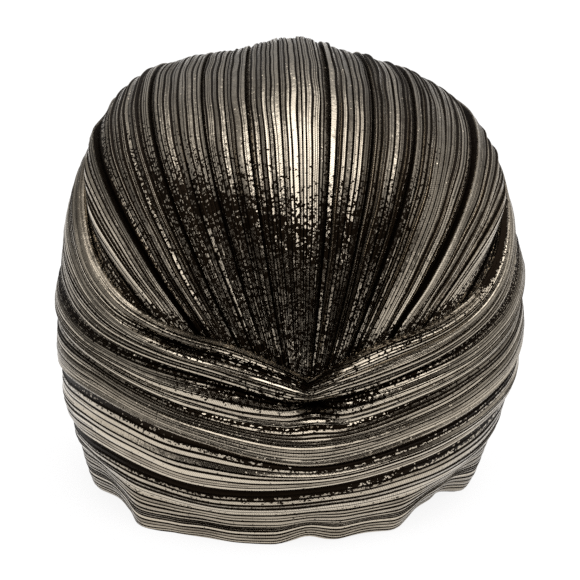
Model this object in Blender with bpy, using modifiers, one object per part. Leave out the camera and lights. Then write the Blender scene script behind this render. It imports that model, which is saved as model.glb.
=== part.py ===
"""A pleated turban hat, sewn from two pieces of pleated foil cloth and standing on its hem.

The crown panel's folds run front to back over the head, gathered at a point low on the front and at another
on the back. The wrap band goes round the head from the hem to a rolled upper edge, which dips to a V over
the front gather, where one tuck pinches the band in. Front is -Y, the wearer's left is +X, and +Z is up.
"""

import math

import bmesh
import bpy
from mathutils import Vector

# The rounded form that the cloth is drawn over, in metres
FORM_HALF_WIDTH = 0.1010
FORM_HALF_DEPTH = 0.1130
WIDEST_HEIGHT = 0.068
CROWN_RISE = 0.125  # from the widest level to the top
CROWN_FULLNESS = 2.75  # exponent of the dome's upright section
PLAN_FULLNESS = 2.1  # exponent of the level section
HEM_TAPER = 0.175  # share of the width lost between the widest level and the hem
HEM_TAPER_CURVE = 1.5
BACK_LEAN = 0.008  # how far the top lies behind the middle
HEM_SHIFT = -0.004  # how far aside the hem lies
SURFACE_SEARCH_STEPS = 40

# The cloth
CLOTH = 0.0022
SEAM_GAP = 0.0004
V_AZIMUTH = math.radians(4)  # the V lies a little towards +X

# The crown panel: its folds lie in planes that turn about the line from the front gather to the back one
FRONT_GATHER = Vector((0.005, -FORM_HALF_DEPTH, 0.042))
BACK_GATHER = Vector((0.0, FORM_HALF_DEPTH, 0.085))
CROWN_START = math.radians(17)  # the panel's ends, as swings from the gathers seen from between them
CROWN_END = math.radians(169)
CROWN_ROWS = 22
CREASE_START = math.radians(9)  # the creases deepen from this swing off a gather
CREASE_FULL = math.radians(37)  # to their whole depth at this one
CROWN_SWELL = CLOTH + SEAM_GAP + 0.0008  # how far the panel stands out once it is clear of the band
SWELL_START = 0.0035  # above the band's edge
SWELL_LENGTH = 0.013
# name, angle in degrees from the top towards +X, depth in metres
CROWN_CREASES = (
    ("side_left", -68.0, 0.0),
    ("edge_left", -53.0, 0.0016),
    ("long_left", -41.0, 0.0034),
    ("second_left", -28.5, 0.0024),
    ("third_left", -18.5, 0.0026),
    ("fourth_left", -10.0, 0.0016),
    ("middle", -3.5, 0.0010),
    ("first_right", 6.0, 0.0028),
    ("second_right", 14.5, 0.0016),
    ("third_right", 23.5, 0.0028),
    ("long_right", 38.0, 0.0036),
    ("edge_right", 53.0, 0.0028),
    ("side_right", 68.0, 0.0),
)
CROWN_FOLD_STATIONS = (0.0, 0.2, 0.62)  # where each fold between two creases is sampled

# The wrap band: its creases, as shares of its height, and how far the fold above each one puffs out
# name, share at the left (-X), at the front, at the right (+X), at the back, puff in metres
BAND_CREASES = (
    ("hem", 0.0, 0.0, 0.0, 0.0, 0.0010),
    ("low", 0.125, 0.255, 0.155, 0.16, 0.0014),
    ("lower", 0.225, 0.355, 0.245, 0.26, 0.0028),
    ("middle", 0.36, 0.50, 0.37, 0.40, 0.0014),
    ("upper", 0.445, 0.635, 0.47, 0.52, 0.0034),
    ("roll", 0.68, 0.88, 0.71, 0.75, 0.0022),
    ("edge", 1.0, 1.0, 1.0, 1.0, 0.0),
)
BAND_FOLD_STATIONS = (0.0, 0.22, 0.66)
BAND_SLUMP = 0.6  # the band's folds hang low, over the creases under them
HEM_STRIP = 0.003  # the turned hem stands upright for this height
FINE_STEP = math.radians(3.25)  # between the band's sections at the front
COARSE_STEP = math.radians(5.0)
FINE_LIMIT = math.radians(78)

# height of the band's upper edge without its V, by degrees of azimuth away from the V
UPPER_EDGE = (
    (0.0, 0.0915),
    (9.0, 0.0925),
    (18.0, 0.0950),
    (32.0, 0.0995),
    (45.0, 0.1065),
    (58.0, 0.1185),
    (72.0, 0.1350),
    (88.0, 0.1490),
    (105.0, 0.1530),
    (130.0, 0.1430),
    (155.0, 0.1280),
    (180.0, 0.1220),
)

V_DEPTH = 0.0115
V_SPAN = math.radians(20)  # to each side
V_FADE = 5  # exponent of the share of the band's height, by which the folds under the edge follow the V

# dents of the hem: azimuth and half width in degrees, how far in and how far up in metres;
# a negative depth is a bulge
HEM_DENTS = (
    (-57.0, 18.0, 0.0070, 0.0026),
    (-38.0, 9.0, -0.0024, 0.0),
    (-20.0, 9.0, 0.0014, 0.0),
    (7.0, 8.0, 0.0034, 0.0012),
    (55.0, 18.0, 0.0072, 0.0026),
    (88.0, 12.0, 0.0026, 0.0014),
    (-94.0, 13.0, 0.0030, 0.0018),
    (128.0, 14.0, 0.0030, 0.0022),
    (-136.0, 15.0, 0.0032, 0.0018),
    (172.0, 13.0, 0.0024, 0.0016),
)
HEM_DENT_REACH = 0.30  # share of the band's height over which a dent fades out

# the front tuck
TUCK_AZIMUTH = math.radians(5.5)
TUCK_HEIGHT = 0.0665
TUCK_RADIUS = 0.0140
TUCK_DEPTH = 0.0050


def clamp(value):
    return max(0.0, min(1.0, value))


def ease(value):
    share = clamp(value)
    return share * share * (3 - 2 * share)


def signed_angle(angle):
    return math.atan2(math.sin(angle), math.cos(angle))


def from_table(rows, place):
    """Smooth curve through rows of (place, value), with the slope of its chord at each end."""
    last = len(rows) - 1
    index = 0
    while index < last - 1 and place > rows[index + 1][0]:
        index += 1

    def slope(at):
        low, high = max(0, at - 1), min(last, at + 1)
        return (rows[high][1] - rows[low][1]) / (rows[high][0] - rows[low][0])

    start, end = rows[index], rows[index + 1]
    span = end[0] - start[0]
    t = clamp((place - start[0]) / span)
    return (
        (2 * t**3 - 3 * t**2 + 1) * start[1]
        + (t**3 - 2 * t**2 + t) * span * slope(index)
        + (3 * t**2 - 2 * t**3) * end[1]
        + (t**3 - t**2) * span * slope(index + 1)
    )


def around(azimuth, left, front, right, back):
    """A value that is given at four sides, carried smoothly round the head."""
    ahead, aside = math.cos(azimuth), math.sin(azimuth)
    side = right if aside > 0 else left
    end = front if ahead > 0 else back
    return end * ahead**2 + side * aside**2


def arch(share, slump=1.0):
    """Cross-section of a fold: 0 at its two creases, 1 between, nearer the start with a slump below 1."""
    place = share**slump
    return math.sqrt(max(0.0, 4 * place * (1 - place)))


def section_scale(height):
    """Size of the form's level section at a height, as a share of the widest one."""
    if height >= WIDEST_HEIGHT:
        rise = clamp((height - WIDEST_HEIGHT) / CROWN_RISE)
        return (1 - rise**CROWN_FULLNESS) ** (1 / CROWN_FULLNESS)
    drop = (WIDEST_HEIGHT - height) / WIDEST_HEIGHT
    return 1 - HEM_TAPER * drop**HEM_TAPER_CURVE


def plan_size(x, y):
    """1 on the widest level's outline, less inside it."""
    return (
        abs(x / FORM_HALF_WIDTH) ** PLAN_FULLNESS
        + abs(y / FORM_HALF_DEPTH) ** PLAN_FULLNESS
    ) ** (1 / PLAN_FULLNESS)


def form_normal(point):
    """Outward normal of the form at a point on it, before it leans."""
    x, y, z = point
    size = max(plan_size(x, y), 1e-6)
    slope_x = math.copysign(
        abs(x / FORM_HALF_WIDTH / size) ** (PLAN_FULLNESS - 1) / FORM_HALF_WIDTH, x
    )
    slope_y = math.copysign(
        abs(y / FORM_HALF_DEPTH / size) ** (PLAN_FULLNESS - 1) / FORM_HALF_DEPTH, y
    )
    if z >= WIDEST_HEIGHT:
        level = size ** (CROWN_FULLNESS - 1)
        rise = (z - WIDEST_HEIGHT) / CROWN_RISE
        upward = rise ** (CROWN_FULLNESS - 1) / CROWN_RISE
        return Vector((level * slope_x, level * slope_y, upward)).normalized()
    drop = (WIDEST_HEIGHT - z) / WIDEST_HEIGHT
    downward = HEM_TAPER * HEM_TAPER_CURVE * drop ** (HEM_TAPER_CURVE - 1) / WIDEST_HEIGHT
    return Vector((slope_x, slope_y, -downward)).normalized()


def leaned(point):
    """The point once the top has settled back and the hem aside."""
    rise = clamp((point.z - WIDEST_HEIGHT) / CROWN_RISE)
    drop = clamp((WIDEST_HEIGHT - point.z) / WIDEST_HEIGHT)
    return Vector((point.x + HEM_SHIFT * drop, point.y + BACK_LEAN * rise**2, point.z))


def ring_point(azimuth, height):
    """Point of the form by azimuth, which is 0 at the front and grows towards +X, and height."""
    aside, ahead = math.sin(azimuth), -math.cos(azimuth)
    reach = section_scale(height) / plan_size(aside, ahead)
    return Vector((reach * aside, reach * ahead, height))


def form_size(point):
    """1 on the form's surface, less inside it."""
    level = plan_size(point.x, point.y)
    if point.z < WIDEST_HEIGHT:
        return level / section_scale(max(0.0, point.z))
    rise = (point.z - WIDEST_HEIGHT) / CROWN_RISE
    return (level**CROWN_FULLNESS + rise**CROWN_FULLNESS) ** (1 / CROWN_FULLNESS)


def dome_point(spread, swing):
    """Point of the form by the crown's own angles: spread aside from the top, swing from front to back."""
    middle = (FRONT_GATHER + BACK_GATHER) / 2
    ahead = (FRONT_GATHER - BACK_GATHER).normalized()
    aside = ahead.cross(Vector((0, 0, 1))).normalized()
    upward = aside.cross(ahead)
    across = aside * -math.sin(spread) + upward * math.cos(spread)
    direction = ahead * math.cos(swing) + across * math.sin(swing)
    near, far = 0.0, 2 * FORM_HALF_DEPTH
    for _ in range(SURFACE_SEARCH_STEPS):
        reach = (near + far) / 2
        if form_size(middle + direction * reach) < 1:
            near = reach
        else:
            far = reach
    return middle + direction * far


def crown_swell(point):
    """How far the crown panel stands out of the form at a point of it, above the band's edge."""
    azimuth = math.atan2(point.x, -point.y)
    clear = point.z - upper_edge_height(azimuth) - SWELL_START
    return CROWN_SWELL * ease(clear / SWELL_LENGTH)


def crown_point(index, station, swing):
    """Outer surface of the crown panel, on the fold between creases index and index + 1."""
    _, start, start_depth = CROWN_CREASES[index]
    if station == 0.0:
        spread, depth = start, start_depth
    else:
        _, end, end_depth = CROWN_CREASES[index + 1]
        spread = start + (end - start) * station
        depth = (start_depth + (end_depth - start_depth) * station) * (1 - arch(station))
    point = dome_point(math.radians(spread), swing)
    depth *= clamp((min(swing, math.pi - swing) - CREASE_START) / (CREASE_FULL - CREASE_START))
    outward = crown_swell(point) - depth - tuck_depth(point)
    return leaned(point + form_normal(point) * outward)


def v_drop(azimuth):
    """How far the V lowers the band's upper edge."""
    away = abs(signed_angle(azimuth - V_AZIMUTH))
    return V_DEPTH * clamp(1 - away / V_SPAN) ** 2


def full_edge_height(azimuth):
    """Height of the band's upper edge, were there no V in it."""
    away = abs(signed_angle(azimuth - V_AZIMUTH))
    return from_table(UPPER_EDGE, math.degrees(away))


def upper_edge_height(azimuth):
    return full_edge_height(azimuth) - v_drop(azimuth)


def hem_dent(azimuth):
    """How far in and how far up the hem goes at an azimuth; out where a depth is negative."""
    inward = lift = 0.0
    for centre, half_width, depth, height in HEM_DENTS:
        away = abs(signed_angle(azimuth - math.radians(centre)))
        share = ease(1 - away / math.radians(half_width))
        inward += depth * share
        lift += height * share
    return inward, lift


def tuck_depth(point):
    """How far the front tuck pulls the band in at a point of the form."""
    centre = ring_point(TUCK_AZIMUTH, TUCK_HEIGHT)
    return TUCK_DEPTH * ease(1 - (point - centre).length / TUCK_RADIUS)


def band_point(azimuth, index, station):
    """Outer surface of the band, on the fold between creases index and index + 1."""
    _, *sides, puff = BAND_CREASES[index]
    share = around(azimuth, *sides)
    if station > 0.0:
        _, *next_sides, _ = BAND_CREASES[index + 1]
        share += (around(azimuth, *next_sides) - share) * station
    inward, lift = hem_dent(azimuth)
    fading = ease(1 - share / HEM_DENT_REACH)
    height = lift + share * (full_edge_height(azimuth) - lift) - v_drop(azimuth) * share**V_FADE
    point = ring_point(azimuth, height)
    outward = CLOTH + SEAM_GAP + puff * arch(station, BAND_SLUMP) - tuck_depth(point)
    outward -= inward * fading
    return leaned(point + form_normal(point) * outward)


def band_section(azimuth):
    """The band's outline at one azimuth, from the hem up."""
    points = []
    for index in range(len(BAND_CREASES) - 1):
        for station in BAND_FOLD_STATIONS:
            points.append(band_point(azimuth, index, station))
    points.append(band_point(azimuth, len(BAND_CREASES) - 1, 0.0))
    _, lift = hem_dent(azimuth)
    foot = Vector((points[0].x, points[0].y, lift))
    top_of_strip = Vector((foot.x, foot.y, lift + HEM_STRIP))
    return [foot, top_of_strip, *points[1:]]


def band_azimuths():
    """Sections close together at the front, where the dents and the tuck are, and further apart behind."""
    fine_count = 2 * round(FINE_LIMIT / FINE_STEP)
    fine = [-FINE_LIMIT + 2 * FINE_LIMIT * i / fine_count for i in range(fine_count)]
    rest = 2 * math.pi - 2 * FINE_LIMIT
    coarse_count = round(rest / COARSE_STEP)
    coarse = [FINE_LIMIT + rest * i / coarse_count for i in range(coarse_count)]
    return fine + coarse


def pleated_cloth(name):
    material = bpy.data.materials.new(name)
    material.use_nodes = True
    shader = material.node_tree.nodes["Principled BSDF"]
    shader.inputs["Base Color"].default_value = (0.36, 0.31, 0.24, 1.0)
    shader.inputs["Metallic"].default_value = 0.85
    shader.inputs["Roughness"].default_value = 0.32
    return material


def cloth_object(name, sections, closed, collection, material):
    """A cloth wall through a row of sections with the same number of points each."""
    mesh = bpy.data.meshes.new(name)
    shell = bmesh.new()
    rows = [[shell.verts.new(point) for point in section] for section in sections]
    pairs = list(zip(rows, rows[1:]))
    if closed:
        pairs.append((rows[-1], rows[0]))
    for first, second in pairs:
        for i in range(len(first) - 1):
            shell.faces.new((first[i], second[i], second[i + 1], first[i + 1]))
    shell.to_mesh(mesh)
    shell.free()
    mesh.materials.append(material)
    mesh.shade_smooth()
    mesh.set_sharp_from_angle(angle=math.radians(40))
    piece = bpy.data.objects.new(name, mesh)
    collection.objects.link(piece)
    wall = piece.modifiers.new("cloth_thickness", "SOLIDIFY")
    wall.thickness = CLOTH
    wall.offset = -1.0
    wall.use_rim = True
    return piece


def crown_sections():
    """Rows across the crown panel, from the back gather to the front one."""
    sections = []
    for row in range(CROWN_ROWS + 1):
        swing = CROWN_END + (CROWN_START - CROWN_END) * row / CROWN_ROWS
        section = []
        for index in range(len(CROWN_CREASES) - 1):
            for station in CROWN_FOLD_STATIONS:
                section.append(crown_point(index, station, swing))
        section.append(crown_point(len(CROWN_CREASES) - 1, 0.0, swing))
        sections.append(section)
    return sections


def main():
    for old in list(bpy.data.objects):
        bpy.data.objects.remove(old)
    collection = bpy.data.collections.new("turban_hat")
    bpy.context.scene.collection.children.link(collection)
    cloth_object("crown_panel", crown_sections(), False, collection, pleated_cloth("crown_cloth"))
    sections = [band_section(azimuth) for azimuth in band_azimuths()]
    cloth_object("wrap_band", sections, True, collection, pleated_cloth("band_cloth"))


main()
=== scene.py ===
import math
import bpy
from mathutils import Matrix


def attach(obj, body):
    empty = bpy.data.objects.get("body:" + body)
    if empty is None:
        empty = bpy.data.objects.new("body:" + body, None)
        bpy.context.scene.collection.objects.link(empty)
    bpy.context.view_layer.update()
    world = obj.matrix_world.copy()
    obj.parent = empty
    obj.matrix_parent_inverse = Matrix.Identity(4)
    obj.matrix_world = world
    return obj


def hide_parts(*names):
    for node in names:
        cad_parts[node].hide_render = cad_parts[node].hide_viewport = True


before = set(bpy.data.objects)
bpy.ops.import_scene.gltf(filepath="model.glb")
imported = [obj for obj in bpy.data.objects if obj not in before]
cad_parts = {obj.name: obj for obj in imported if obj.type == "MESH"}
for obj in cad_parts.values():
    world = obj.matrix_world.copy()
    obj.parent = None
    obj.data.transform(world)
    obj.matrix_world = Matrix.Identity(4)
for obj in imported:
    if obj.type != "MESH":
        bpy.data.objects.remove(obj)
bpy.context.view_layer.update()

import bpy
import numpy as np
from mathutils import Vector

print("frame loaded")

# Everywhere below, lengths are in metres, and angles given in a dictionary are in degrees.
# An azimuth is 0 in front and grows towards +X.

# The rounded form that the cloth is drawn over, the same as in the solids
form = {
    "halfWidth": 0.1010,
    "halfDepth": 0.1130,
    "widestHeight": 0.068,
    "crownRise": 0.125,
    "crownFullness": 2.75,
    "planFullness": 2.1,
    "hemTaper": 0.175,
    "hemTaperCurve": 1.5,
    "backLean": 0.008,
    "hemShift": -0.004,
    "wall": 0.0026,  # cloth and seam gap together
    "meanRadius": 0.105,  # turns an angle round the head into a length, near enough
    "tuckAzimuth": 5.5,
    "tuckHeight": 0.0665,
    "tuckRadius": 0.0140,
    "tuckDepth": 0.0050,
}

# The band's upper edge: angle away from the V, height without the V, and the V itself
upperEdge = {
    "places": (0, 9, 18, 32, 45, 58, 72, 88, 105, 130, 155, 180),
    "heights": (
        0.0915, 0.0925, 0.0950, 0.0995, 0.1065, 0.1185, 0.1350, 0.1490, 0.1530, 0.1430, 0.1280, 0.1220,
    ),
    "vAzimuth": 4.0,
    "vDepth": 0.0115,
    "vSpan": 20.0,
}

# Every pleat is a groove and a strip of foil between two edges
pleat = {
    "stripStart": 0.2,  # where the strip starts and ends across the pleat, in the cloth pattern's measure
    "stripEnd": 0.8,
    "mostEdge": 0.26,  # the most of the pleat's width that one edge takes
    "wander": 0.16,  # how far the pleat strays to the side, as a share of its width
    "leastDrift": 0.15,  # how far a ripple turns from one pleat to the next, in radians
    "mostDrift": 0.45,
}


def ease(share):
    share = np.clip(share, 0, 1)
    return share * share * (3 - 2 * share)


def bell(away, width):
    return np.exp(-(away / width) ** 2)


def window(at, start, end, fadeIn, fadeOut):
    return ease((at - start) / fadeIn) * ease((end - at) / fadeOut)


def wrapAngle(angle):
    return np.arctan2(np.sin(angle), np.cos(angle))


def curveThrough(places, values, at):
    places, values = np.asarray(places, float), np.asarray(values, float)
    slopes = np.empty_like(values)
    slopes[1:-1] = (values[2:] - values[:-2]) / (places[2:] - places[:-2])
    slopes[0] = (values[1] - values[0]) / (places[1] - places[0])
    slopes[-1] = (values[-1] - values[-2]) / (places[-1] - places[-2])
    index = np.clip(np.searchsorted(places, at, side="right") - 1, 0, len(places) - 2)
    span = places[index + 1] - places[index]
    t = np.clip((at - places[index]) / span, 0, 1)
    return (
        (2 * t**3 - 3 * t**2 + 1) * values[index]
        + (t**3 - 2 * t**2 + t) * span * slopes[index]
        + (3 * t**2 - 2 * t**3) * values[index + 1]
        + (t**3 - t**2) * span * slopes[index + 1]
    )


def aroundHead(azimuth, left, front, right, back):
    ahead, aside = np.cos(azimuth), np.sin(azimuth)
    return np.where(ahead > 0, front, back) * ahead**2 + np.where(aside > 0, right, left) * aside**2


def sectionScale(height):
    rise = np.clip((height - form["widestHeight"]) / form["crownRise"], 0, 1)
    drop = np.clip((form["widestHeight"] - height) / form["widestHeight"], 0, 1)
    upper = (1 - rise ** form["crownFullness"]) ** (1 / form["crownFullness"])
    return upper * (1 - form["hemTaper"] * drop ** form["hemTaperCurve"])


def planSize(x, y):
    power = form["planFullness"]
    return (np.abs(x / form["halfWidth"]) ** power + np.abs(y / form["halfDepth"]) ** power) ** (1 / power)


def formSize(points):
    # below 1 inside the form, 1 on it
    x, y, z = np.moveaxis(points, -1, 0)
    level = planSize(x, y)
    rise = np.clip((z - form["widestHeight"]) / form["crownRise"], 0, None)
    power = form["crownFullness"]
    above = (level**power + rise**power) ** (1 / power)
    return np.where(z < form["widestHeight"], level / sectionScale(np.clip(z, 0, None)), above)


def formNormal(points):
    x, y, z = np.moveaxis(points, -1, 0)
    size = np.maximum(planSize(x, y), 1e-6)  # never 0, also on the axis
    power = form["planFullness"] - 1
    slopeX = np.sign(x) * np.abs(x / form["halfWidth"] / size) ** power / form["halfWidth"]
    slopeY = np.sign(y) * np.abs(y / form["halfDepth"] / size) ** power / form["halfDepth"]
    above = z >= form["widestHeight"]
    rise = np.clip((z - form["widestHeight"]) / form["crownRise"], 0, None)
    drop = np.clip((form["widestHeight"] - z) / form["widestHeight"], 0, None)
    level = np.where(above, size ** (form["crownFullness"] - 1), 1.0)
    upward = rise ** (form["crownFullness"] - 1) / form["crownRise"]
    taper = form["hemTaper"] * form["hemTaperCurve"] / form["widestHeight"]
    downward = -taper * drop ** (form["hemTaperCurve"] - 1)
    normal = np.stack([level * slopeX, level * slopeY, np.where(above, upward, downward)], -1)
    return normal / np.linalg.norm(normal, axis=-1, keepdims=True)


def leaned(points):
    rise = np.clip((points[..., 2] - form["widestHeight"]) / form["crownRise"], 0, 1)
    drop = np.clip((form["widestHeight"] - points[..., 2]) / form["widestHeight"], 0, 1)
    moved = points.copy()
    moved[..., 0] += form["hemShift"] * drop
    moved[..., 1] += form["backLean"] * rise**2
    return moved


def ringPoint(azimuth, height):
    aside, ahead = np.sin(azimuth), -np.cos(azimuth)
    reach = sectionScale(height) / planSize(aside, ahead)
    return np.stack([reach * aside, reach * ahead, height + 0 * reach], -1)


def vDrop(azimuth):
    away = np.abs(wrapAngle(azimuth - math.radians(upperEdge["vAzimuth"])))
    return upperEdge["vDepth"] * np.clip(1 - away / math.radians(upperEdge["vSpan"]), 0, 1) ** 2


def fullEdgeHeight(azimuth):
    away = np.degrees(np.abs(wrapAngle(azimuth - math.radians(upperEdge["vAzimuth"]))))
    return curveThrough(upperEdge["places"], upperEdge["heights"], away)


def tuckPull(points):
    centre = ringPoint(np.radians(form["tuckAzimuth"]), np.float64(form["tuckHeight"]))
    away = np.linalg.norm(points - centre, axis=-1)
    return form["tuckDepth"] * ease(1 - away / form["tuckRadius"])


def ripple(number, along, lengths, seed):
    # a slow wave along a pleat, much the same in its neighbours
    random = np.random.default_rng(seed)
    total = 0
    for length in lengths:
        phase = random.uniform(0, 2 * math.pi)
        drift = random.uniform(pleat["leastDrift"], pleat["mostDrift"])
        total = total + np.sin(2 * math.pi * along / length + phase + drift * number)
    return total / len(lengths)


def pleatWidths(counts, spread, seed):
    random = np.random.default_rng(seed)
    return np.concatenate([random.uniform(1 - spread, 1 + spread, count) for count in counts])


def pleatLeans(pleats, knobs):
    # how far each pleat leans and how far it stands out: a few lean much, the rest a little
    random = np.random.default_rng(knobs["leanSeed"])
    much = random.uniform(-1, 1, pleats) ** 3 * knobs["strongTilt"]
    tilt = much + random.uniform(-1, 1, pleats) * knobs["slightTilt"]
    return tilt, random.uniform(-1, 1, pleats) * knobs["lift"]


def pleatLines(left, right, edge, tilt):
    # the groove and the strip's two edges: place in the fold, place across the pleat, lean
    return (
        (left, 0.0, 0.0),
        (left + edge, pleat["stripStart"], -tilt),
        (right - edge, pleat["stripEnd"], tilt),
    )


def wandered(place, wander):
    # a line at either end of its fold stays where it is
    return np.clip(place + wander * np.minimum(1, 6 * place * (1 - place)), 0, 1)


def clothMesh(name, outer, inner, paintedDark, pleatU, lengthV, ring, sharpAngle):
    # two grids of points, each rows x columns, joined along their edges into one closed wall
    rows, columns = outer.shape[:2]
    points = np.concatenate([outer.reshape(-1, 3), inner.reshape(-1, 3)])
    under = rows * columns  # from a point outside to the same one inside
    number = np.arange(under).reshape(rows, columns)
    rowU = np.broadcast_to(pleatU, (rows, columns))
    here, hereU = (number, rowU) if ring else (number[:-1], rowU[:-1])
    nextRow, nextU = (np.roll(number, -1, 0), np.roll(rowU, -1, 0)) if ring else (number[1:], rowU[1:])
    hereV, nextV = lengthV[:-1], lengthV[1:]
    quads, uvs = [], []

    def addQuads(corners, us, vs):
        quads.append(np.stack([corner.ravel() for corner in corners], -1))
        u, v = (np.stack([np.ravel(share) for share in shares], -1) for shares in (us, vs))
        uvs.append(np.stack([u, v], -1))

    low = np.broadcast_to(hereV[:, None], here[:, :-1].shape)
    high = np.broadcast_to(nextV[:, None], here[:, :-1].shape)
    addQuads(
        (here[:, :-1], nextRow[:, :-1], nextRow[:, 1:], here[:, 1:]),
        (hereU[:, :-1], nextU[:, :-1], nextU[:, 1:], hereU[:, 1:]), (low, high, high, low),
    )
    addQuads(
        (here[:, 1:] + under, nextRow[:, 1:] + under, nextRow[:, :-1] + under, here[:, :-1] + under),
        (hereU[:, 1:], nextU[:, 1:], nextU[:, :-1], hereU[:, :-1]), (low, high, high, low),
    )
    middle = np.full(len(here), 0.5)  # the cut edges take the pattern of a strip's middle
    for side, outside, inside in ((-1, 0, under), (0, under, 0)):
        cut, nextCut = here[:, side], nextRow[:, side]
        addQuads(
            (cut + outside, nextCut + outside, nextCut + inside, cut + inside),
            (middle, middle, middle, middle), (hereV, nextV, nextV, hereV),
        )
    if not ring:
        for row, turn in ((0, 1), (-1, -1)):
            line, u = number[row][::turn], rowU[row][::turn]
            level = np.full(columns - 1, lengthV[row])
            addQuads(
                (line[:-1], line[1:], line[1:] + under, line[:-1] + under),
                (u[:-1], u[1:], u[1:], u[:-1]), (level, level, level, level),
            )
    mesh = bpy.data.meshes.new(name)
    mesh.from_pydata(points.tolist(), [], np.concatenate(quads).tolist())
    layer = mesh.uv_layers.new(name="pleats")
    layer.data.foreach_set("uv", np.concatenate(uvs).ravel())
    share = mesh.attributes.new("paintedDarkShare", "FLOAT", "POINT")  # painted shade and painted dark reflection: how much of the foil is hidden to show the black knit
    share.data.foreach_set("value", np.concatenate([paintedDark.ravel(), 0 * paintedDark.ravel()]))
    mesh.shade_smooth()
    mesh.set_sharp_from_angle(angle=math.radians(sharpAngle))
    piece = bpy.data.objects.new(name, mesh)
    bpy.context.scene.collection.objects.link(piece)
    return piece


# The crown: one panel of pleats that fan from a gather low on the front to one at the back. A line of it
# is placed by its spread, the angle from the top towards +X, and a point on it by its swing from the front.
crown = {
    "frontGather": (0.005, -0.113, 0.042),
    "backGather": (0.0, 0.113, 0.085),
    "start": 17.0,
    "end": 169.0,
    "rows": 92,
    "arcRadius": 0.125,  # turns a swing into a length, near enough
    "foldRadius": 0.1,  # and a spread into a width
    "sharpAngle": 16,
    "pleatAngle": 1.02,
    "pleatSpread": 0.42,  # how much the pleats' widths differ
    "widthSeed": 11,
    "leanSeed": 12,
    "strongTilt": 0.00034,
    "slightTilt": 0.00009,
    "lift": 0.00012,
    "groove": 0.00042,
    "edge": 0.00046,
    "wanderLengths": (0.05, 0.083, 0.031),
    "wanderSeed": 5,
    "slowLengths": (0.11, 0.17, 0.26),
    "slowSeed": 21,
    "slowStep": 3.1,  # how much faster the slow wave changes from pleat to pleat
    "slowSize": 0.0006,
    # pleats are calmer on the +X side and near the top
    "calmStart": 16,
    "calmSpan": 14,
    "calming": 0.55,
    "calmEdge": 0.42,
    "topWidth": 16,
    "topCalming": 0.4,
    # the crown's own roundness: its places over the top, how far it stands out of the form there
    "shapePlaces": (
        -60, -55, -51, -48, -45, -41, -36, -28, -20, -12, -6, 0, 6, 12, 19, 25, 33, 40, 47, 52, 56, 60,
    ),
    "shape": (
        0, 0.0022, 0.0050, 0.0058, 0.0048, 0.0036, 0.0018, -0.0004, -0.0034, -0.0042, -0.0022,
        -0.0004, -0.0024, -0.0050, -0.0056, -0.0046, -0.0030, 0.0010, 0.0060, 0.0078, 0.0062, 0,
    ),
    "shapeWindow": (54, 160, 34, 34),  # swing where it starts and ends, and over which it fades in and out
    "swell": 0.0034,
    "frontSwell": 0.15,  # share of the swell that is left in front
    "frontSwellStart": 30,
    "frontSwellSpan": 50,
    "swellStart": 0.0025,  # above the band's edge
    "swellLength": 0.014,
    "fadeStart": 9.0,  # the folds flatten towards both gathers
    "fadeEnd": 37.0,
    "lining": 0.0011,
    "liningGroove": 0.0002,
    "outerGap": 0.0002,
    "innerGap": 0.0004,
    "sunk": 0.0060,  # how far the panel goes in under the band, and how far below the edge
    "sunkStart": 0.003,
    "sunkLength": 0.008,
    "overlap": 110,  # angle that a fold laps over its crease, for each metre of the crease's depth
    "deepCrease": 0.0034,
    "creasePower": 5,  # how narrow a deep crease is, and a shallow one
    "shallowPower": 11,
    "lipPower": 7,
    # painted shade in the creases: foil hidden there to show the black knit
    "creaseShadeDepth": 0.0016,
    "creaseShadeStart": 0.3,
    # painted dark reflection over the forehead: the line where it is strongest, how far it reaches up and
    # down
    "frontDarkPlaces": (-38, -28, -18, -8, 0, 8, 18, 31),
    "frontDarkHeights": (0.152, 0.151, 0.149, 0.146, 0.140, 0.141, 0.140, 0.147),
    "frontDarkFadeIn": 7,
    "frontDarkFadeOut": 9,
    "frontDarkReach": 0.027,
    "frontDarkPower": 1.6,
    "frontDarkFall": 0.018,
    "frontDarkBelow": 0.5,  # share of it that stays, further down
    "paintedDarkShare": 0.82,
    # painted shade over the band's edge: share, height above the edge, half width, azimuths and fades
    "seamShades": (
        (1.15, 0.0042, 0.0030, (38, 108, 20, 36)),
        (0.85, 0.0026, 0.0026, (-70, 70, 20, 20)),
    ),
    # pleats that lie turned outwards, so that they catch the table, and which the forehead's painted dark
    # reflection leaves out
    "turnedPleats": (-37, -34.5, -31, 8.0, 15.0, 17.2, 21.5, 26.5, 28.5, 33, 35.5, 41, 43),
    "turnedTilt": -0.0008,
    "turnedFrontDark": 0.0,
    # the creases: spread, depth, height of the lip, and the side that the lip is on
    "folds": (
        (-68.0, 0.0, 0.0, -1),
        (-57.0, 0.0008, 0.0003, -1),
        (-50.0, 0.0011, 0.0005, -1),
        (-41.0, 0.0034, 0.0009, -1),
        (-28.5, 0.0021, 0.0006, -1),
        (-23.0, 0.0007, 0.0003, -1),
        (-18.5, 0.0016, 0.0006, -1),
        (-14.0, 0.0006, 0.0002, -1),
        (-10.0, 0.0019, 0.0004, -1),
        (-3.5, 0.0003, 0.0005, -1),
        (0.5, 0.0004, 0.0003, 1),
        (6.0, 0.0021, 0.0005, 1),
        (10.5, 0.0006, 0.0002, 1),
        (14.5, 0.0015, 0.0005, 1),
        (19.0, 0.0006, 0.0003, 1),
        (23.5, 0.0021, 0.0006, 1),
        (30.5, 0.0006, 0.0002, 1),
        (38.0, 0.0034, 0.0009, 1),
        (46.0, 0.0009, 0.0004, 1),
        (53.0, 0.0020, 0.0006, 1),
        (60.0, 0.0006, 0.0003, 1),
        (68.0, 0.0, 0.0, 1),
    ),
}


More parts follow.
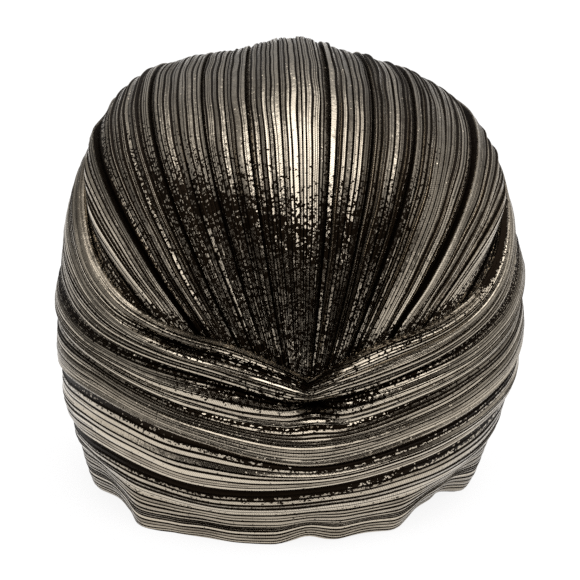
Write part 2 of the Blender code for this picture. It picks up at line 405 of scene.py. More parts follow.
def domePoint(spread, swing):
    front, back = np.array(crown["frontGather"]), np.array(crown["backGather"])
    middle = (front + back) / 2
    ahead = (front - back) / np.linalg.norm(front - back)
    aside = np.cross(ahead, (0, 0, 1.0))
    aside /= np.linalg.norm(aside)
    upward = np.cross(aside, ahead)
    spread, swing = spread[..., None], swing[..., None]
    across = aside * -np.sin(spread) + upward * np.cos(spread)
    direction = ahead * np.cos(swing) + across * np.sin(swing)
    near, far = np.zeros(direction.shape[:-1]), np.full(direction.shape[:-1], 2 * form["halfDepth"])
    for _ in range(40):  # halves the stretch in which the form's surface lies
        reach = (near + far) / 2
        inside = formSize(middle + direction * reach[..., None]) < 1
        near, far = np.where(inside, reach, near), np.where(inside, far, reach)
    return middle + direction * far[..., None]


def creasePower(depth):
    shallow = max(0, 1 - depth / crown["deepCrease"])
    return crown["creasePower"] + (crown["shallowPower"] - crown["creasePower"]) * shallow


def foldHeight(first, last, p):
    # the outer folds lap over the inner ones, with a raised lip at each crease
    _, firstDepth, firstLip, firstSide = first
    _, lastDepth, lastLip, lastSide = last
    if firstSide < 0:
        out = -firstDepth * (1 - p) ** creasePower(firstDepth)
    else:
        out = firstLip * (1 - p) ** crown["lipPower"]
    if lastSide > 0:
        out = out - lastDepth * p ** creasePower(lastDepth)
    else:
        out = out + lastLip * p ** crown["lipPower"]
    return np.where(p <= 0, -firstDepth, out)


# painted dark reflection on the forehead's foil: foil hidden to show the black knit, strongest along a line
def frontPaintedDark(base, degrees):
    line = curveThrough(crown["frontDarkPlaces"], crown["frontDarkHeights"], degrees)
    above = np.clip(1 - (base[..., 2] - line) / crown["frontDarkReach"], 0, 1) ** crown["frontDarkPower"]
    below = 1 - (1 - crown["frontDarkBelow"]) * ease((line - base[..., 2]) / crown["frontDarkFall"])
    start, end = crown["frontDarkPlaces"][0], crown["frontDarkPlaces"][-1]
    aside = window(degrees, start, end, crown["frontDarkFadeIn"], crown["frontDarkFadeOut"])
    return crown["paintedDarkShare"] * above * below * aside * (base[..., 1] < 0)


def crownPleats():
    # how many pleats each fold has, then each pleat's width, lean, height, calm and share of the forehead's
    # painted dark reflection
    folds = crown["folds"]
    counts = [
        max(2, round((last[0] - first[0]) / crown["pleatAngle"])) for first, last in zip(folds, folds[1:])
    ]
    width = pleatWidths(counts, crown["pleatSpread"], crown["widthSeed"])
    tilt, lift = pleatLeans(len(width), crown)
    middles = np.concatenate([
        first[0] + (last[0] - first[0]) * (np.arange(count) + 0.5) / count
        for first, last, count in zip(folds, folds[1:], counts)
    ])
    calm = 1 - crown["calming"] * ease((middles - crown["calmStart"]) / crown["calmSpan"])
    tilt *= calm * (1 - crown["topCalming"] * bell(middles, crown["topWidth"]))
    frontDarkFactor = np.ones(len(width))
    for degrees in crown["turnedPleats"]:
        nearest = np.argmin(np.abs(middles - degrees))
        tilt[nearest] = crown["turnedTilt"] * math.copysign(1, degrees)
        frontDarkFactor[nearest] = crown["turnedFrontDark"]
    return counts, width, tilt, lift, calm, frontDarkFactor


def crownLines(swing, along):
    # each line of the panel: spread, how far out it and its lining stand, painted shade in the creases,
    # place in the pattern, and share of the forehead's painted dark reflection
    folds = crown["folds"]
    counts, width, tilt, lift, calm, frontDarkFactor = crownPleats()
    fromGather = np.degrees(np.minimum(swing, math.pi - swing))
    fade = np.clip((fromGather - crown["fadeStart"]) / (crown["fadeEnd"] - crown["fadeStart"]), 0, 1)
    lines = []
    start = 0
    for index, count in enumerate(counts):
        first, last = folds[index], folds[index + 1]
        span = last[0] - first[0]
        foldWidths = width[start:start + count]
        share = np.concatenate([[0], np.cumsum(foldWidths)]) / foldWidths.sum()
        for k in range(count):
            number = start + k
            left, right = share[k], share[k + 1]
            metres = (right - left) * math.radians(span) * crown["foldRadius"]
            edge = crown["edge"] * (crown["calmEdge"] + (1 - crown["calmEdge"]) * calm[number])
            edge = min(pleat["mostEdge"], edge / metres) * (right - left)
            wander = ripple(number, along, crown["wanderLengths"], crown["wanderSeed"])
            wander = wander * pleat["wander"] * (right - left)
            slow = ripple(number * crown["slowStep"], along, crown["slowLengths"], crown["slowSeed"])
            for place, u, lean in pleatLines(left, right, edge, tilt[number]):
                inGroove = u == 0.0
                p = wandered(place, wander)
                out = foldHeight(first, last, p)
                # painted shade: the foil is hidden in deep creases
                paintedDark = np.clip(-out / crown["creaseShadeDepth"] - crown["creaseShadeStart"], 0, 1) * fade
                relief = lift[number] + lean - (crown["groove"] if inGroove else 0.0)
                if not (inGroove and k == 0):
                    relief = relief + slow * crown["slowSize"]
                degrees = first[0] + span * p
                if u == pleat["stripEnd"] and k == count - 1 and last[3] < 0:
                    degrees = degrees + last[1] * crown["overlap"] * fade
                if u == pleat["stripStart"] and k == 0 and first[3] > 0:
                    degrees = degrees - first[1] * crown["overlap"] * fade
                depth = first[1] + (last[1] - first[1]) * place
                inward = -depth * fade - crown["lining"] - (crown["liningGroove"] if inGroove else 0.0)
                out = out * fade + relief
                lines.append((np.radians(degrees), out, inward, paintedDark, number + u, frontDarkFactor[number]))
        start += count
    flat = 0 * swing
    lines.append((flat + math.radians(folds[-1][0]), flat, flat - crown["lining"], flat, start, 1.0))
    spread, out, inward, paintedDark = (np.stack([line[i] for line in lines], 1) for i in range(4))
    pleatU, frontDarkFactor = (np.array([line[i] for line in lines], float) for i in (4, 5))
    return spread, out, inward, paintedDark, pleatU, frontDarkFactor


def makeCrown():
    swing = np.radians(np.linspace(crown["start"], crown["end"], crown["rows"]))[::-1]
    along = swing * crown["arcRadius"]
    spread, out, inward, creasePaintedShade, pleatU, frontDarkFactor = crownLines(swing, along)
    turn = np.broadcast_to(swing[:, None], spread.shape)
    base = domePoint(spread, turn)
    azimuth = np.arctan2(base[..., 0], -base[..., 1])
    aboveEdge = base[..., 2] - fullEdgeHeight(azimuth) + vDrop(azimuth)
    spreadDegrees, turnDegrees, azimuthDegrees = np.degrees(spread), np.degrees(turn), np.degrees(azimuth)

    clear = ease((aboveEdge - crown["swellStart"]) / crown["swellLength"])
    shape = curveThrough(crown["shapePlaces"], crown["shape"], spreadDegrees)
    shape = shape * window(turnDegrees, *crown["shapeWindow"])
    behind = ease((turnDegrees - crown["frontSwellStart"]) / crown["frontSwellSpan"])
    swell = crown["swell"] * clear * (crown["frontSwell"] + (1 - crown["frontSwell"]) * behind)
    under = ease((-aboveEdge - crown["sunkStart"]) / crown["sunkLength"])
    swell = swell - tuckPull(base) + shape * clear - crown["sunk"] * under
    raised = np.where(out > 0, out * clear, out)
    normal = formNormal(base)
    outer = leaned(base + normal * (swell + raised - crown["outerGap"])[..., None])
    inner = leaned(base + normal * (swell + inward - crown["innerGap"])[..., None])

    # painted shade in the crease just over the band's edge
    seams = [
        share * bell(aboveEdge - height, halfWidth) * window(azimuthDegrees, *reach)
        for share, height, halfWidth, reach in crown["seamShades"]
    ]
    # painted shade and painted dark reflection, all together
    paintedDark = np.maximum.reduce([creasePaintedShade, frontPaintedDark(base, spreadDegrees) * frontDarkFactor, *seams])
    length = np.concatenate([[0], np.cumsum(np.abs(np.diff(along)))])
    paintedDark = np.clip(paintedDark, 0, 1)
    return clothMesh("pleatedCrown", outer, inner, paintedDark, pleatU, length, False, crown["sharpAngle"])


pleatedCrown = makeCrown()
print("crown made:", len(pleatedCrown.data.polygons), "faces")

# The band: pleats that run round the head, from the hem to the rolled edge over the V.
# Four numbers in one row are for the left, the front, the right and the back, seen from in front.
band = {
    "frontStep": 1.25,
    "backStep": 2.5,
    "frontReach": 80.0,
    "sharpAngle": 33,
    "pleatSpread": 0.42,
    "widthSeed": 31,
    "leanSeed": 32,
    "strongTilt": 0.00032,
    "slightTilt": 0.00008,
    "lift": 0.00010,
    "hemTilt": 0.4,  # share of their lean that the hem's own pleats keep
    "groove": 0.00042,
    "edge": (0.00074, 0.00048, 0.00074, 0.00068),
    "secondPleat": (1.0, 0.06, 1.0, 0.8),  # width of every second pleat over the valley fold
    "wanderLengths": (0.06, 0.11, 0.035),
    "wanderSeed": 6,
    "slowLengths": (0.09, 0.15),
    "slowSeed": 22,
    "slowStep": 2.1,
    "slowSize": 0.0003,
    "slump": 0.6,  # how low in its fold the puff is fullest, and how square it is
    "archPower": 0.72,
    "sag": 0.42,  # how far a fold hangs over the crease below it, as a share of its puff
    "sagReach": 0.16,
    "frontWidth": 25.0,
    "lining": 0.0004,
    "innerGap": 0.0012,
    "rimDepth": 0.0004,
    "rimPattern": -0.3,  # the rim ends in the last pleat's foil
    # the creases' heights at these azimuths, then the puff of the fold above each at the sides and in
    # front, the depth of the crease, and how many pleats the fold has. The first fold stands on the hem.
    "places": (-180, -90, -50, -20, 5, 30, 60, 90, 180),
    "creases": (
        ((), 0.0010, 0.0010, 0.0, 12),
        ((0.020, 0.020, 0.022, 0.018, 0.0195, 0.021, 0.025, 0.027, 0.020), 0.0016, 0.0028, 0.0002, 6),
        ((0.036, 0.034, 0.0365, 0.031, 0.0325, 0.0385, 0.046, 0.050, 0.036), 0.0024, 0.0034, 0.0022, 8),
        ((0.052, 0.056, 0.061, 0.0525, 0.044, 0.0505, 0.060, 0.067, 0.052), 0.0026, 0.0044, 0.0022, 13),
        ((0.074, 0.078, 0.076, 0.0655, 0.0595, 0.069, 0.080, 0.090, 0.074), 0.0030, 0.0, 0.0008, 15),
        ((0.094, 0.098, 0.088, 0.0815, 0.0735, 0.082, 0.096, 0.112, 0.094), 0.0008, 0.0026, 0.0008, 24),
    ),
    # painted shade below each crease from the second on: how far below it reaches, and how strong it is
    "creaseShade": ((0.0012, 0.5), (0.0068, 1.0), (0.0052, 1.0), (0.0022, 0.8), (0.0040, 0.8)),
    "shadeSlope": 2.4,
    "shadeAround": (1.0, 1.0, 0.75, 0.45),
    "valleyFold": 4,
    "valleyDepth": 0.0044,
    "valleyCentre": 6.0,
    "valleyWidth": 24.0,
    # strips drawn into the tuck: how far on either side of it, how high, and how far down and up they move
    "drawnLeft": 0.034,
    "drawnRight": 0.010,
    "drawnHeight": 0.008,
    "drawnDown": 0.8,
    "drawnUp": 0.15,
    # the hole in the tuck and the painted shade in it: depth or share, place along the band from the tuck's
    # middle, half width, height above the middle, half height
    "tuckHole": (0.0050, 0.0, 0.0055, 0.0012, 0.0034),
    "tuckShade": (1.2, 0.002, 0.0075, 0.0005, 0.0036),
    # strokes of painted shade beside the tuck: share, start and end along the band with their fades, height
    # above the tuck's middle, slope, half height
    "tuckStrokes": (
        (0.9, (0.0, 0.036, 0.008, 0.018), 0.002, 0.20, 0.0042),
        (0.85, (-0.066, 0.0, 0.034, 0.006), 0.0042, -0.11, 0.0040),
    ),
    # where the right side of the edge laps over the left: how far below the edge the lap's lip runs
    "lapPlaces": (-45, -20, -6, 2, 6, 10, 14),
    "lapReach": (0.0095, 0.0088, 0.0078, 0.0062, 0.0050, 0.0028, 0.0),
    "lapStart": -44,
    "lapFade": 20,
    "lapDepth": 0.0026,  # of the valley above the lip, then how far above it, and its half width
    "lapValleyRise": 0.0028,
    "lapValleyWidth": 0.0021,
    "lipHeight": 0.0010,  # of the lip, then how far below its line, and its half width
    "lipDrop": 0.0008,
    "lipWidth": 0.0015,
    # painted shade in the lap's valley
    "lapShade": 0.85,
    # the rolled edge, and painted shade along it to the right of the V that dulls its highlight
    "roll": (0.0007, 0.0015, 0.0007, 0.0010),
    "rollWidth": 0.0024,
    "rimShadeWidth": 0.0042,
    "rimShade": 1.5,
    "rimWindow": (44, 118, 14, 14),
    "nearRimShade": 0.5,
    "nearRimPlace": 26,
    "nearRimWidth": 13,
    # azimuth, half width, how far in, how far up
    "hemDents": (
        (-57, 20, 0.0052, 0.0010),
        (-38, 10, -0.0030, 0.0),
        (-20, 9, 0.0014, 0.0),
        (7, 9, 0.0034, 0.0022),
        (22, 13, 0.0014, 0.0020),
        (41, 12, 0.0052, 0.0022),
        (55, 18, 0.0086, 0.0026),
        (88, 12, 0.0026, 0.0014),
        (-94, 13, 0.0030, 0.0018),
        (128, 14, 0.0030, 0.0022),
        (-136, 15, 0.0032, 0.0018),
        (172, 13, 0.0024, 0.0016),
    ),
    "dentReach": 0.30,  # share of the band's height that a dent reaches up
}


def hemDent(azimuth):
    inward = lift = 0.0
    for centre, halfWidth, depth, height in band["hemDents"]:
        share = ease(1 - np.abs(wrapAngle(azimuth - math.radians(centre))) / math.radians(halfWidth))
        inward = inward + depth * share
        lift = lift + height * share
    return inward, lift


def bandAzimuths():
    reach = band["frontReach"]
    front = np.arange(-reach, reach, band["frontStep"])
    back = np.linspace(reach, 360 - reach, round((360 - 2 * reach) / band["backStep"]), endpoint=False)
    return wrapAngle(np.radians(np.concatenate([front, back])))


def bandLines(azimuth, hemLift, edgeHeight):
    # each line round the band: height, how far it hangs and stands out, painted shade, place in the pattern
    degrees = np.degrees(azimuth)
    along = azimuth * form["meanRadius"]
    creases = band["creases"]
    counts = [crease[4] for crease in creases]
    width = pleatWidths(counts, band["pleatSpread"], band["widthSeed"])
    tilt, lift = pleatLeans(len(width), band)
    tilt[:counts[0]] *= band["hemTilt"]
    middleHeights = [curveThrough(band["places"], crease[0], degrees) for crease in creases[1:]]
    heights = [hemLift, *middleHeights, edgeHeight]
    atFront = bell(degrees, band["frontWidth"])
    valley = band["valleyDepth"] * bell(degrees - band["valleyCentre"], band["valleyWidth"])
    lineWidth = aroundHead(azimuth, *band["edge"])
    shadeAround = aroundHead(azimuth, *band["shadeAround"])
    flat = 0 * azimuth
    lines = []
    start = 0
    for index, (_, sidePuff, frontPuff, creaseDepth, count) in enumerate(creases):
        low, high = heights[index], heights[index + 1]
        puff = sidePuff + (frontPuff - sidePuff) * atFront
        weight = np.repeat(width[start:start + count, None], len(azimuth), 1)
        if index >= band["valleyFold"]:
            weight[::2] *= aroundHead(azimuth, *band["secondPleat"])
        share = np.concatenate([0 * weight[:1], np.cumsum(weight, 0)]) / weight.sum(0)
        for k in range(count):
            number = start + k
            left, right = share[k], share[k + 1]
            metres = (right - left) * (high - low)
            edge = np.minimum(pleat["mostEdge"], lineWidth / metres) * (right - left)
            wander = ripple(number, along, band["wanderLengths"], band["wanderSeed"])
            wander = wander * pleat["wander"] * (right - left)
            slow = ripple(number * band["slowStep"], along, band["slowLengths"], band["slowSeed"])
            for place, u, lean in pleatLines(left, right, edge, tilt[number]):
                onCrease = k == 0 and u == 0.0
                p = wandered(place, wander)
                slumped = p ** band["slump"]
                arch = np.clip(4 * slumped * (1 - slumped), 0, None) ** band["archPower"]
                out = puff * arch + lift[number] + lean - (band["groove"] if u == 0.0 else 0.0)
                if onCrease:
                    out = out - creaseDepth - (valley if index == band["valleyFold"] + 1 else 0)
                else:
                    out = out + slow * band["slowSize"]
                if index == band["valleyFold"]:
                    out = out - valley * p
                sags = 0 if onCrease or index == 0 else band["sag"]
                hang = np.clip(1 - p / band["sagReach"], 0, 1) ** 2 * puff * sags
                height = low + (high - low) * p
                shade = flat
                # painted shade under the crease above
                if index < len(band["creaseShade"]):
                    reach, strength = band["creaseShade"][index]
                    shade = strength * np.clip(band["shadeSlope"] * (1 - (high - height) / reach), 0, 1)
                lines.append((height, hang, out, shade * shadeAround, number + u))
        start += count
    lines.append((edgeHeight, flat, flat - band["rimDepth"], flat, start + band["rimPattern"]))
    height, hang, out, paintedDark = (np.stack([line[i] for line in lines], 1) for i in range(4))
    return height, hang, out, paintedDark, np.array([line[4] for line in lines], float)


def atTuck(fromTuck, above, size, place, halfWidth, rise, halfHeight):
    return size * bell(fromTuck - place, halfWidth) * bell(above - rise, halfHeight)


def makeBand():
    azimuth = bandAzimuths()
    inward, hemLift = hemDent(azimuth)
    edgeHeight = fullEdgeHeight(azimuth) - vDrop(azimuth)
    height, hang, out, creasePaintedShade, pleatU = bandLines(azimuth, hemLift, edgeHeight)
    turn = np.broadcast_to(azimuth[:, None], height.shape)
    turnDegrees = np.degrees(turn)
    hemUp = np.broadcast_to(hemLift[:, None], height.shape)
    hemIn = inward[:, None] * ease(1 - height / edgeHeight[:, None] / band["dentReach"])

    # the strips that are drawn into the tuck, and its hole
    fromTuck = wrapAngle(turn - math.radians(form["tuckAzimuth"])) * form["halfDepth"]
    above = height - form["tuckHeight"]
    drawnReach = np.where(fromTuck < 0, band["drawnLeft"], band["drawnRight"])
    drawn = np.clip(1 - np.abs(fromTuck) / drawnReach, 0, 1) * bell(above, band["drawnHeight"])
    height = height - np.where(above > 0, band["drawnDown"], band["drawnUp"]) * above * drawn
    hole = atTuck(fromTuck, above, *band["tuckHole"])

    # the lap left of the V, and the rolled edge
    belowEdge = edgeHeight[:, None] - height
    lapReach = np.interp(turnDegrees, band["lapPlaces"], band["lapReach"])
    lapFade = ease((turnDegrees - band["lapStart"]) / band["lapFade"]) * (lapReach > 0)
    fromLip = belowEdge - lapReach
    lapValley = bell(fromLip + band["lapValleyRise"], band["lapValleyWidth"])
    lip = band["lipHeight"] * bell(fromLip - band["lipDrop"], band["lipWidth"])
    rolled = aroundHead(turn, *band["roll"]) * np.clip(1 - belowEdge / band["rollWidth"], 0, 1) ** 2
    out = out - rolled - hole - (band["lapDepth"] * lapValley - lip) * lapFade

    # painted shade in strokes beside the tuck
    strokes = [
        share * window(fromTuck, *reach) * bell(above - rise - slope * fromTuck, halfHeight)
        for share, reach, rise, slope, halfHeight in band["tuckStrokes"]
    ]
    # painted shade along the rim, which dulls its highlight
    nearRim = band["nearRimShade"] * bell(turnDegrees - band["nearRimPlace"], band["nearRimWidth"])
    besideRim = band["rimShade"] * window(turnDegrees, *band["rimWindow"]) + nearRim
    # painted shade: creases, the tuck, the lap's valley and the rim
    paintedDark = np.maximum.reduce([
        creasePaintedShade, atTuck(fromTuck, above, *band["tuckShade"]), *strokes,
        band["lapShade"] * lapValley * lapFade, besideRim * bell(belowEdge, band["rimShadeWidth"]),
    ])

    base = ringPoint(turn, np.clip(height - hang, 0, None))
    outer = leaned(base + formNormal(base) * (form["wall"] + out - tuckPull(base) - hemIn)[..., None])
    outer[..., 2] = np.maximum(outer[..., 2], hemUp)
    level = ringPoint(turn, height)
    lined = band["lining"] + np.minimum(0, out + band["innerGap"])
    inner = leaned(level + formNormal(level) * (lined - tuckPull(level) - hemIn)[..., None])
    inner[..., 2] = np.maximum(inner[..., 2], hemUp)
    step = np.diff(np.unwrap(np.append(azimuth, azimuth[0] + 2 * math.pi)))
    length = np.concatenate([[0], np.cumsum(step)]) * form["meanRadius"]
    paintedDark = np.clip(paintedDark, 0, 1)
    return clothMesh("pleatedBand", outer, inner, paintedDark, pleatU, length, True, band["sharpAngle"])


pleatedBand = makeBand()
print("band made:", len(pleatedBand.data.polygons), "faces")

# The cloth: bronze foil in strips on a black knit that shows in the grooves between the pleats
crownFoil = {
    "foil": (0.72, 0.63, 0.50, 1),
    "darkFoil": (0.34, 0.29, 0.225, 1),
    "knit": (0.0125, 0.0080, 0.0048, 1),
    "foilRoughness": 0.12,
    "knitRoughness": 0.62,
    "grooveShare": 0.18,  # of a pleat's width, on either side
    "grooveSoftness": 0.02,
    "patchScale": 90.0,  # patches of darker foil
    "patchStrength": 1.8,
    # thin dark lines inside a strip: seed, middle, and how many more pleats have none
    "thinLines": ((17.3, 0.42, 0.0), (29.7, 0.60, 0.25)),
    "lineStart": -0.1,  # how far to the side of its middle a line lies, from the least to all of its shift
    "lineShift": 0.16,
    "lineCore": 0.035,
    "lineReach": 0.07,
    "plainInFront": 0.30,  # share of the pleats without a line, and where along the hat it changes
    "plainAside": 0.25,
    "plainStart": -0.10,
    "plainEnd": -0.03,
    "loopScale": 880.0,  # the knit's loops, each leaning its own way
    "loopTilt": 0.13,
    "strayScale": 1700.0,  # single threads that glint
    "strayShare": 0.978,
    "strayFade": 0.02,
    "strayTilt": 1.0,
    "darkCellScale": 1180.0,  # the cells in which the painted shade hides the foil
    "hatchPeriod": 0.00098,  # the slanting rows of the knit
    "hatchSlant": 2.2,
    "hatchShade": 0.58,
    "grainScale": 1300.0,
    "grainHeight": 0.00004,
    "fleckStart": 0.28,  # grain below this is bare knit
    "fleckEnd": 0.36,
    "lumpScale": 330.0,
    "lumpHeight": 0.00010,
}
bandFoil = {
    **crownFoil,
    "loopTilt": 0.065,
    "strayShare": 0.965,
    "plainInFront": 0.7,
    "plainAside": 0.05,
}


def addNode(tree, kind, inputs=(), **settings):
    node = tree.nodes.new(kind)
    for name, value in settings.items():
        setattr(node, name, value)
    for name, value in dict(inputs).items():
        socket = node.inputs[name]
        if kind == "ShaderNodeMix" and name in ("A", "B"):
            socket = next(s for s in node.inputs if s.identifier == name + "_Color")
        if isinstance(value, bpy.types.NodeSocket):
            tree.links.new(value, socket)
        else:
            socket.default_value = value
    return node


def calc(tree, operation, *values):
    return addNode(tree, "ShaderNodeMath", dict(enumerate(values)), operation=operation).outputs[0]


def vectorCalc(tree, operation, *values):
    return addNode(tree, "ShaderNodeVectorMath", dict(enumerate(values)), operation=operation).outputs[0]


def remap(tree, value, fromMin, fromMax, toMin=0.0, toMax=1.0, **settings):
    inputs = {"Value": value, "From Min": fromMin, "From Max": fromMax, "To Min": toMin, "To Max": toMax}
    return addNode(tree, "ShaderNodeMapRange", inputs, **settings).outputs[0]


def mixColours(tree, factor, first, second):
    mix = addNode(tree, "ShaderNodeMix", {"Factor": factor, "A": first, "B": second}, data_type="RGBA")
    return next(socket for socket in mix.outputs if socket.identifier == "Result_Color")


def noise(tree, where, scale, detail, roughness=0.5):
    inputs = {"Vector": where, "Scale": scale, "Detail": detail, "Roughness": roughness}
    return addNode(tree, "ShaderNodeTexNoise", inputs).outputs["Fac"]


def cells(tree, where, scale):
    return addNode(tree, "ShaderNodeTexVoronoi", {"Vector": where, "Scale": scale})


def chance(tree, seed):
    return addNode(tree, "ShaderNodeTexWhiteNoise", {"W": seed}, noise_dimensions="1D").outputs["Value"]


def cellLean(tree, cell, by):
    lean = vectorCalc(tree, "SUBTRACT", cell.outputs["Color"], (0.5, 0.5, 0.5))
    return addNode(tree, "ShaderNodeVectorMath", {0: lean, "Scale": by}, operation="SCALE").outputs[0]


def embossed(tree, height, distance, normal):
    inputs = {"Height": height, "Strength": 1.0, "Distance": distance, "Normal": normal}
    return addNode(tree, "ShaderNodeBump", inputs).outputs["Normal"]


def makeFoilCloth(name, knobs):
    material = bpy.data.materials.new(name)
    material.use_nodes = True
    tree = material.node_tree
    shader = tree.nodes["Principled BSDF"]
    shader.inputs["Metallic"].default_value = 1.0
    uv = addNode(tree, "ShaderNodeUVMap", uv_map="pleats")
    pattern = addNode(tree, "ShaderNodeSeparateXYZ", {"Vector": uv.outputs["UV"]})
    place = calc(tree, "FRACT", pattern.outputs["X"])
    number = calc(tree, "FLOOR", pattern.outputs["X"])
    where = addNode(tree, "ShaderNodeTexCoord").outputs["Object"]
    grain = noise(tree, where, knobs["grainScale"], 2.0, 0.6)

    # the strip of foil between the grooves, without flecks of bare knit, and without the cells hidden for
    # painted shade
    away = calc(tree, "ABSOLUTE", calc(tree, "SUBTRACT", place, 0.5))
    groove = 0.5 - knobs["grooveShare"]
    shown = remap(tree, away, groove - knobs["grooveSoftness"], groove + knobs["grooveSoftness"], 1.0, 0.0)
    fleck = remap(tree, grain, knobs["fleckStart"], knobs["fleckEnd"])
    shown = calc(tree, "MULTIPLY", shown, fleck)
    darkCells = cells(tree, where, knobs["darkCellScale"])
    cell = addNode(tree, "ShaderNodeSeparateColor", {"Color": darkCells.outputs["Color"]})
    # painted shade and painted dark reflection: cells under the vertex share show the black knit
    paintedDark = addNode(tree, "ShaderNodeAttribute", attribute_name="paintedDarkShare")
    unshaded = calc(tree, "GREATER_THAN", cell.outputs[0], paintedDark.outputs["Fac"])
    shown = calc(tree, "MULTIPLY", shown, unshaded)

    # thin dark lines in some strips
    ahead = addNode(tree, "ShaderNodeSeparateXYZ", {"Vector": where}).outputs["Y"]
    for seed, middle, morePlain in knobs["thinLines"]:
        plain = remap(
            tree, ahead, knobs["plainStart"], knobs["plainEnd"],
            knobs["plainInFront"] + morePlain, knobs["plainAside"] + morePlain,
        )
        drawn = chance(tree, calc(tree, "ADD", number, seed))
        shift = calc(tree, "MULTIPLY_ADD", drawn, knobs["lineShift"], middle + knobs["lineStart"])
        apart = calc(tree, "ABSOLUTE", calc(tree, "SUBTRACT", place, shift))
        line = remap(tree, apart, knobs["lineCore"], knobs["lineReach"])
        line = calc(tree, "MAXIMUM", line, calc(tree, "LESS_THAN", drawn, plain))
        shown = calc(tree, "MULTIPLY", shown, line)

    # the knit's slanting rows
    rows = calc(tree, "MULTIPLY", pattern.outputs["Y"], 1 / knobs["hatchPeriod"])
    rows = calc(tree, "MULTIPLY_ADD", place, knobs["hatchSlant"], rows)
    wave = calc(tree, "SINE", calc(tree, "MULTIPLY", rows, 2 * math.pi))
    shown = calc(tree, "MULTIPLY", shown, remap(tree, wave, -1.0, 1.0, knobs["hatchShade"], 1.0))

    # each pleat has its own tone, darker in patches
    patches = noise(tree, where, knobs["patchScale"], 2.0)
    tone = calc(tree, "MULTIPLY", chance(tree, number), patches)
    tone = calc(tree, "MULTIPLY", tone, knobs["patchStrength"])
    foil = mixColours(tree, tone, knobs["foil"], knobs["darkFoil"])
    colour = mixColours(tree, shown, knobs["knit"], foil)
    roughness = remap(tree, shown, 0.0, 1.0, knobs["knitRoughness"], knobs["foilRoughness"])

    # loops lean a little, and a few stray threads lean far
    specks = cells(tree, where, knobs["strayScale"])
    stray = addNode(
        tree, "ShaderNodeTexWhiteNoise", {"Vector": specks.outputs["Position"]}, noise_dimensions="3D",
    )
    strayTilt = remap(
        tree, stray.outputs["Value"], knobs["strayShare"] - knobs["strayFade"], knobs["strayShare"],
        0.0, knobs["strayTilt"],
    )
    loopLean = cellLean(tree, cells(tree, where, knobs["loopScale"]), knobs["loopTilt"])
    lean = vectorCalc(tree, "ADD", loopLean, cellLean(tree, specks, strayTilt))
    surface = addNode(tree, "ShaderNodeNewGeometry")
    facing = vectorCalc(tree, "NORMALIZE", vectorCalc(tree, "ADD", surface.outputs["Normal"], lean))
    lumps = noise(tree, where, knobs["lumpScale"], 1.0)
    lumpy = embossed(tree, lumps, knobs["lumpHeight"], facing)
    grainy = embossed(tree, grain, knobs["grainHeight"], lumpy)

    tree.links.new(colour, shader.inputs["Base Color"])
    tree.links.new(roughness, shader.inputs["Roughness"])
    tree.links.new(grainy, shader.inputs["Normal"])
    return material


pleatedCrown.data.materials.append(makeFoilCloth("crownFoil", crownFoil))
pleatedBand.data.materials.append(makeFoilCloth("bandFoil", bandFoil))
print("cloth finished")

for piece, node, slot in (
    (pleatedCrown, "crown_panel", "crown_cloth"),
    (pleatedBand, "wrap_band", "band_cloth"),
):
    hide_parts(node)
    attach(piece, "root")

# The studio: a pale table, three soft lights overhead, and in front a black card and a dark part of the sky
studio = {
    "floorSize": 20.0,
    "floorColour": (0.20, 0.20, 0.20, 1),
    "floorRoughness": 0.9,
    "floorGlow": 0.89,
    "cardColour": (0.01, 0.01, 0.01, 1),
    "cardLeft": -0.9,
    "cardRight": 0.42,
    "cardStart": -0.33,
    "cardHeight": 0.004,
    "backdropRadius": 9.0,
    "backdropHeight": 8.0,
    "backdropSides": 96,
    # place over the table, size to the side and ahead, watts
    "softboxes": {
        "softbox": (0.21, -0.5, 1.5, 1.66, 15.7),
        "softboxAhead": (0.21, -1.85, 1.5, 1.04, 9.2),
        "softboxBehind": (0.24, 0.68, 1.25, 0.7, 2.6),
    },
    "softboxHeight": 1.35,
    "sky": (0.36, 0.36, 0.36, 1),
    "darkSky": (0.014, 0.010, 0.007, 1),
    "darkTurn": -0.15,  # how far the dark part is turned to the side
    "darkEnd": -0.54,
    "skyStart": -0.2,
    "cloudScale": 2.6,
    # where each starts and ends, and the brightness there
    "clouds": (0.38, 0.62, 0.72, 1.35),
    "overhead": (0.45, 0.95, 1.0, 2.4),
    "sideways": (-1.0, 1.0, 0.62, 1.3),
    "cameraLens": 180.6,
    "cameraPlace": (0.0, -1.2686, 0.4617),
    "cameraTarget": (0.0, 0.0282, 0.0774),
}


def aimed(name, data, place, target):
    thing = bpy.data.objects.new(name, data)
    thing.location = place
    thing.rotation_euler = (Vector(target) - Vector(place)).to_track_quat("-Z", "Y").to_euler()
    bpy.context.scene.collection.objects.link(thing)
    return thing


def flatPiece(name, left, right, front, back, height, material):
    mesh = bpy.data.meshes.new(name)
    corners = [(left, front, height), (right, front, height), (right, back, height), (left, back, height)]
    mesh.from_pydata(corners, [], [(0, 1, 2, 3)])
    mesh.materials.append(material)
    piece = bpy.data.objects.new(name, mesh)
    bpy.context.scene.collection.objects.link(piece)
    return piece


def makePaint(name, colour):
    material = bpy.data.materials.new(name)
    material.use_nodes = True
    shader = material.node_tree.nodes["Principled BSDF"]
    shader.inputs["Base Color"].default_value = colour
    shader.inputs["Specular IOR Level"].default_value = 0.0
    return material, shader


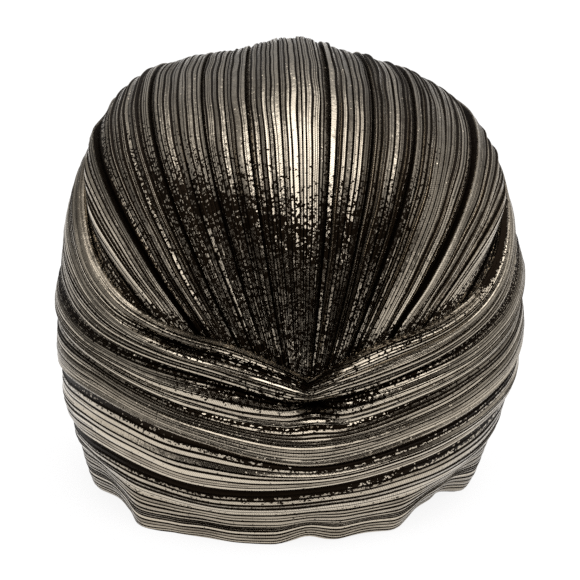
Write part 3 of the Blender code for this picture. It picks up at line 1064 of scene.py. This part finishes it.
def makeStage():
    white, shader = makePaint("tableWhite", studio["floorColour"])
    shader.inputs["Roughness"].default_value = studio["floorRoughness"]
    shader.inputs["Emission Color"].default_value = (1, 1, 1, 1)
    shader.inputs["Emission Strength"].default_value = studio["floorGlow"]
    half = studio["floorSize"] / 2
    table = flatPiece("table", -half, half, -half, half, 0, white)
    # only reflections see the black card
    black = makePaint("cardBlack", studio["cardColour"])[0]
    left, right, start = studio["cardLeft"], studio["cardRight"], studio["cardStart"]
    card = flatPiece("blackCard", left, right, -half, start, studio["cardHeight"], black)
    card.visible_camera = card.visible_diffuse = card.visible_shadow = False
    # and only the camera sees the backdrop
    bpy.ops.mesh.primitive_cylinder_add(
        vertices=studio["backdropSides"], radius=studio["backdropRadius"], depth=studio["backdropHeight"],
        end_fill_type="NOTHING", location=(0, 0, studio["backdropHeight"] / 2),
    )
    backdrop = bpy.context.object
    backdrop.name = "backdrop"
    backdrop.data.materials.append(white)
    backdrop.visible_glossy = backdrop.visible_diffuse = backdrop.visible_shadow = False


def makeLights():
    for name, (x, y, width, length, power) in studio["softboxes"].items():
        light = bpy.data.lights.new(name, "AREA")
        light.shape = "RECTANGLE"
        light.size, light.size_y = width, length
        light.energy = power
        aimed(name, light, (x, y, studio["softboxHeight"]), (x, y, 0))


def makeSky():
    world = bpy.context.scene.world or bpy.data.worlds.new("studio")
    bpy.context.scene.world = world
    world.use_nodes = True
    sky = world.node_tree
    where = addNode(sky, "ShaderNodeTexCoord").outputs["Generated"]
    split = addNode(sky, "ShaderNodeSeparateXYZ", {"Vector": where})
    ahead = calc(sky, "MULTIPLY_ADD", split.outputs["X"], studio["darkTurn"], split.outputs["Y"])
    front = remap(sky, ahead, studio["darkEnd"], studio["skyStart"], interpolation_type="SMOOTHSTEP")
    colour = mixColours(sky, front, studio["darkSky"], studio["sky"])
    strength = remap(sky, noise(sky, where, studio["cloudScale"], 1.0), *studio["clouds"])
    strength = calc(sky, "MULTIPLY", strength, remap(sky, split.outputs["Z"], *studio["overhead"]))
    strength = calc(sky, "MULTIPLY", strength, remap(sky, split.outputs["X"], *studio["sideways"]))
    sky.links.new(colour, sky.nodes["Background"].inputs["Color"])
    sky.links.new(strength, sky.nodes["Background"].inputs["Strength"])


def makeCamera():
    lens = bpy.data.cameras.new("camera")
    lens.lens = studio["cameraLens"]
    bpy.context.scene.camera = aimed("camera", lens, studio["cameraPlace"], studio["cameraTarget"])
    bpy.context.scene.view_settings.view_transform = "Standard"
    bpy.context.scene.view_settings.look = "None"
    bpy.context.scene.cycles.use_denoising = False


makeStage()
makeLights()
makeSky()
makeCamera()
print("studio ready")
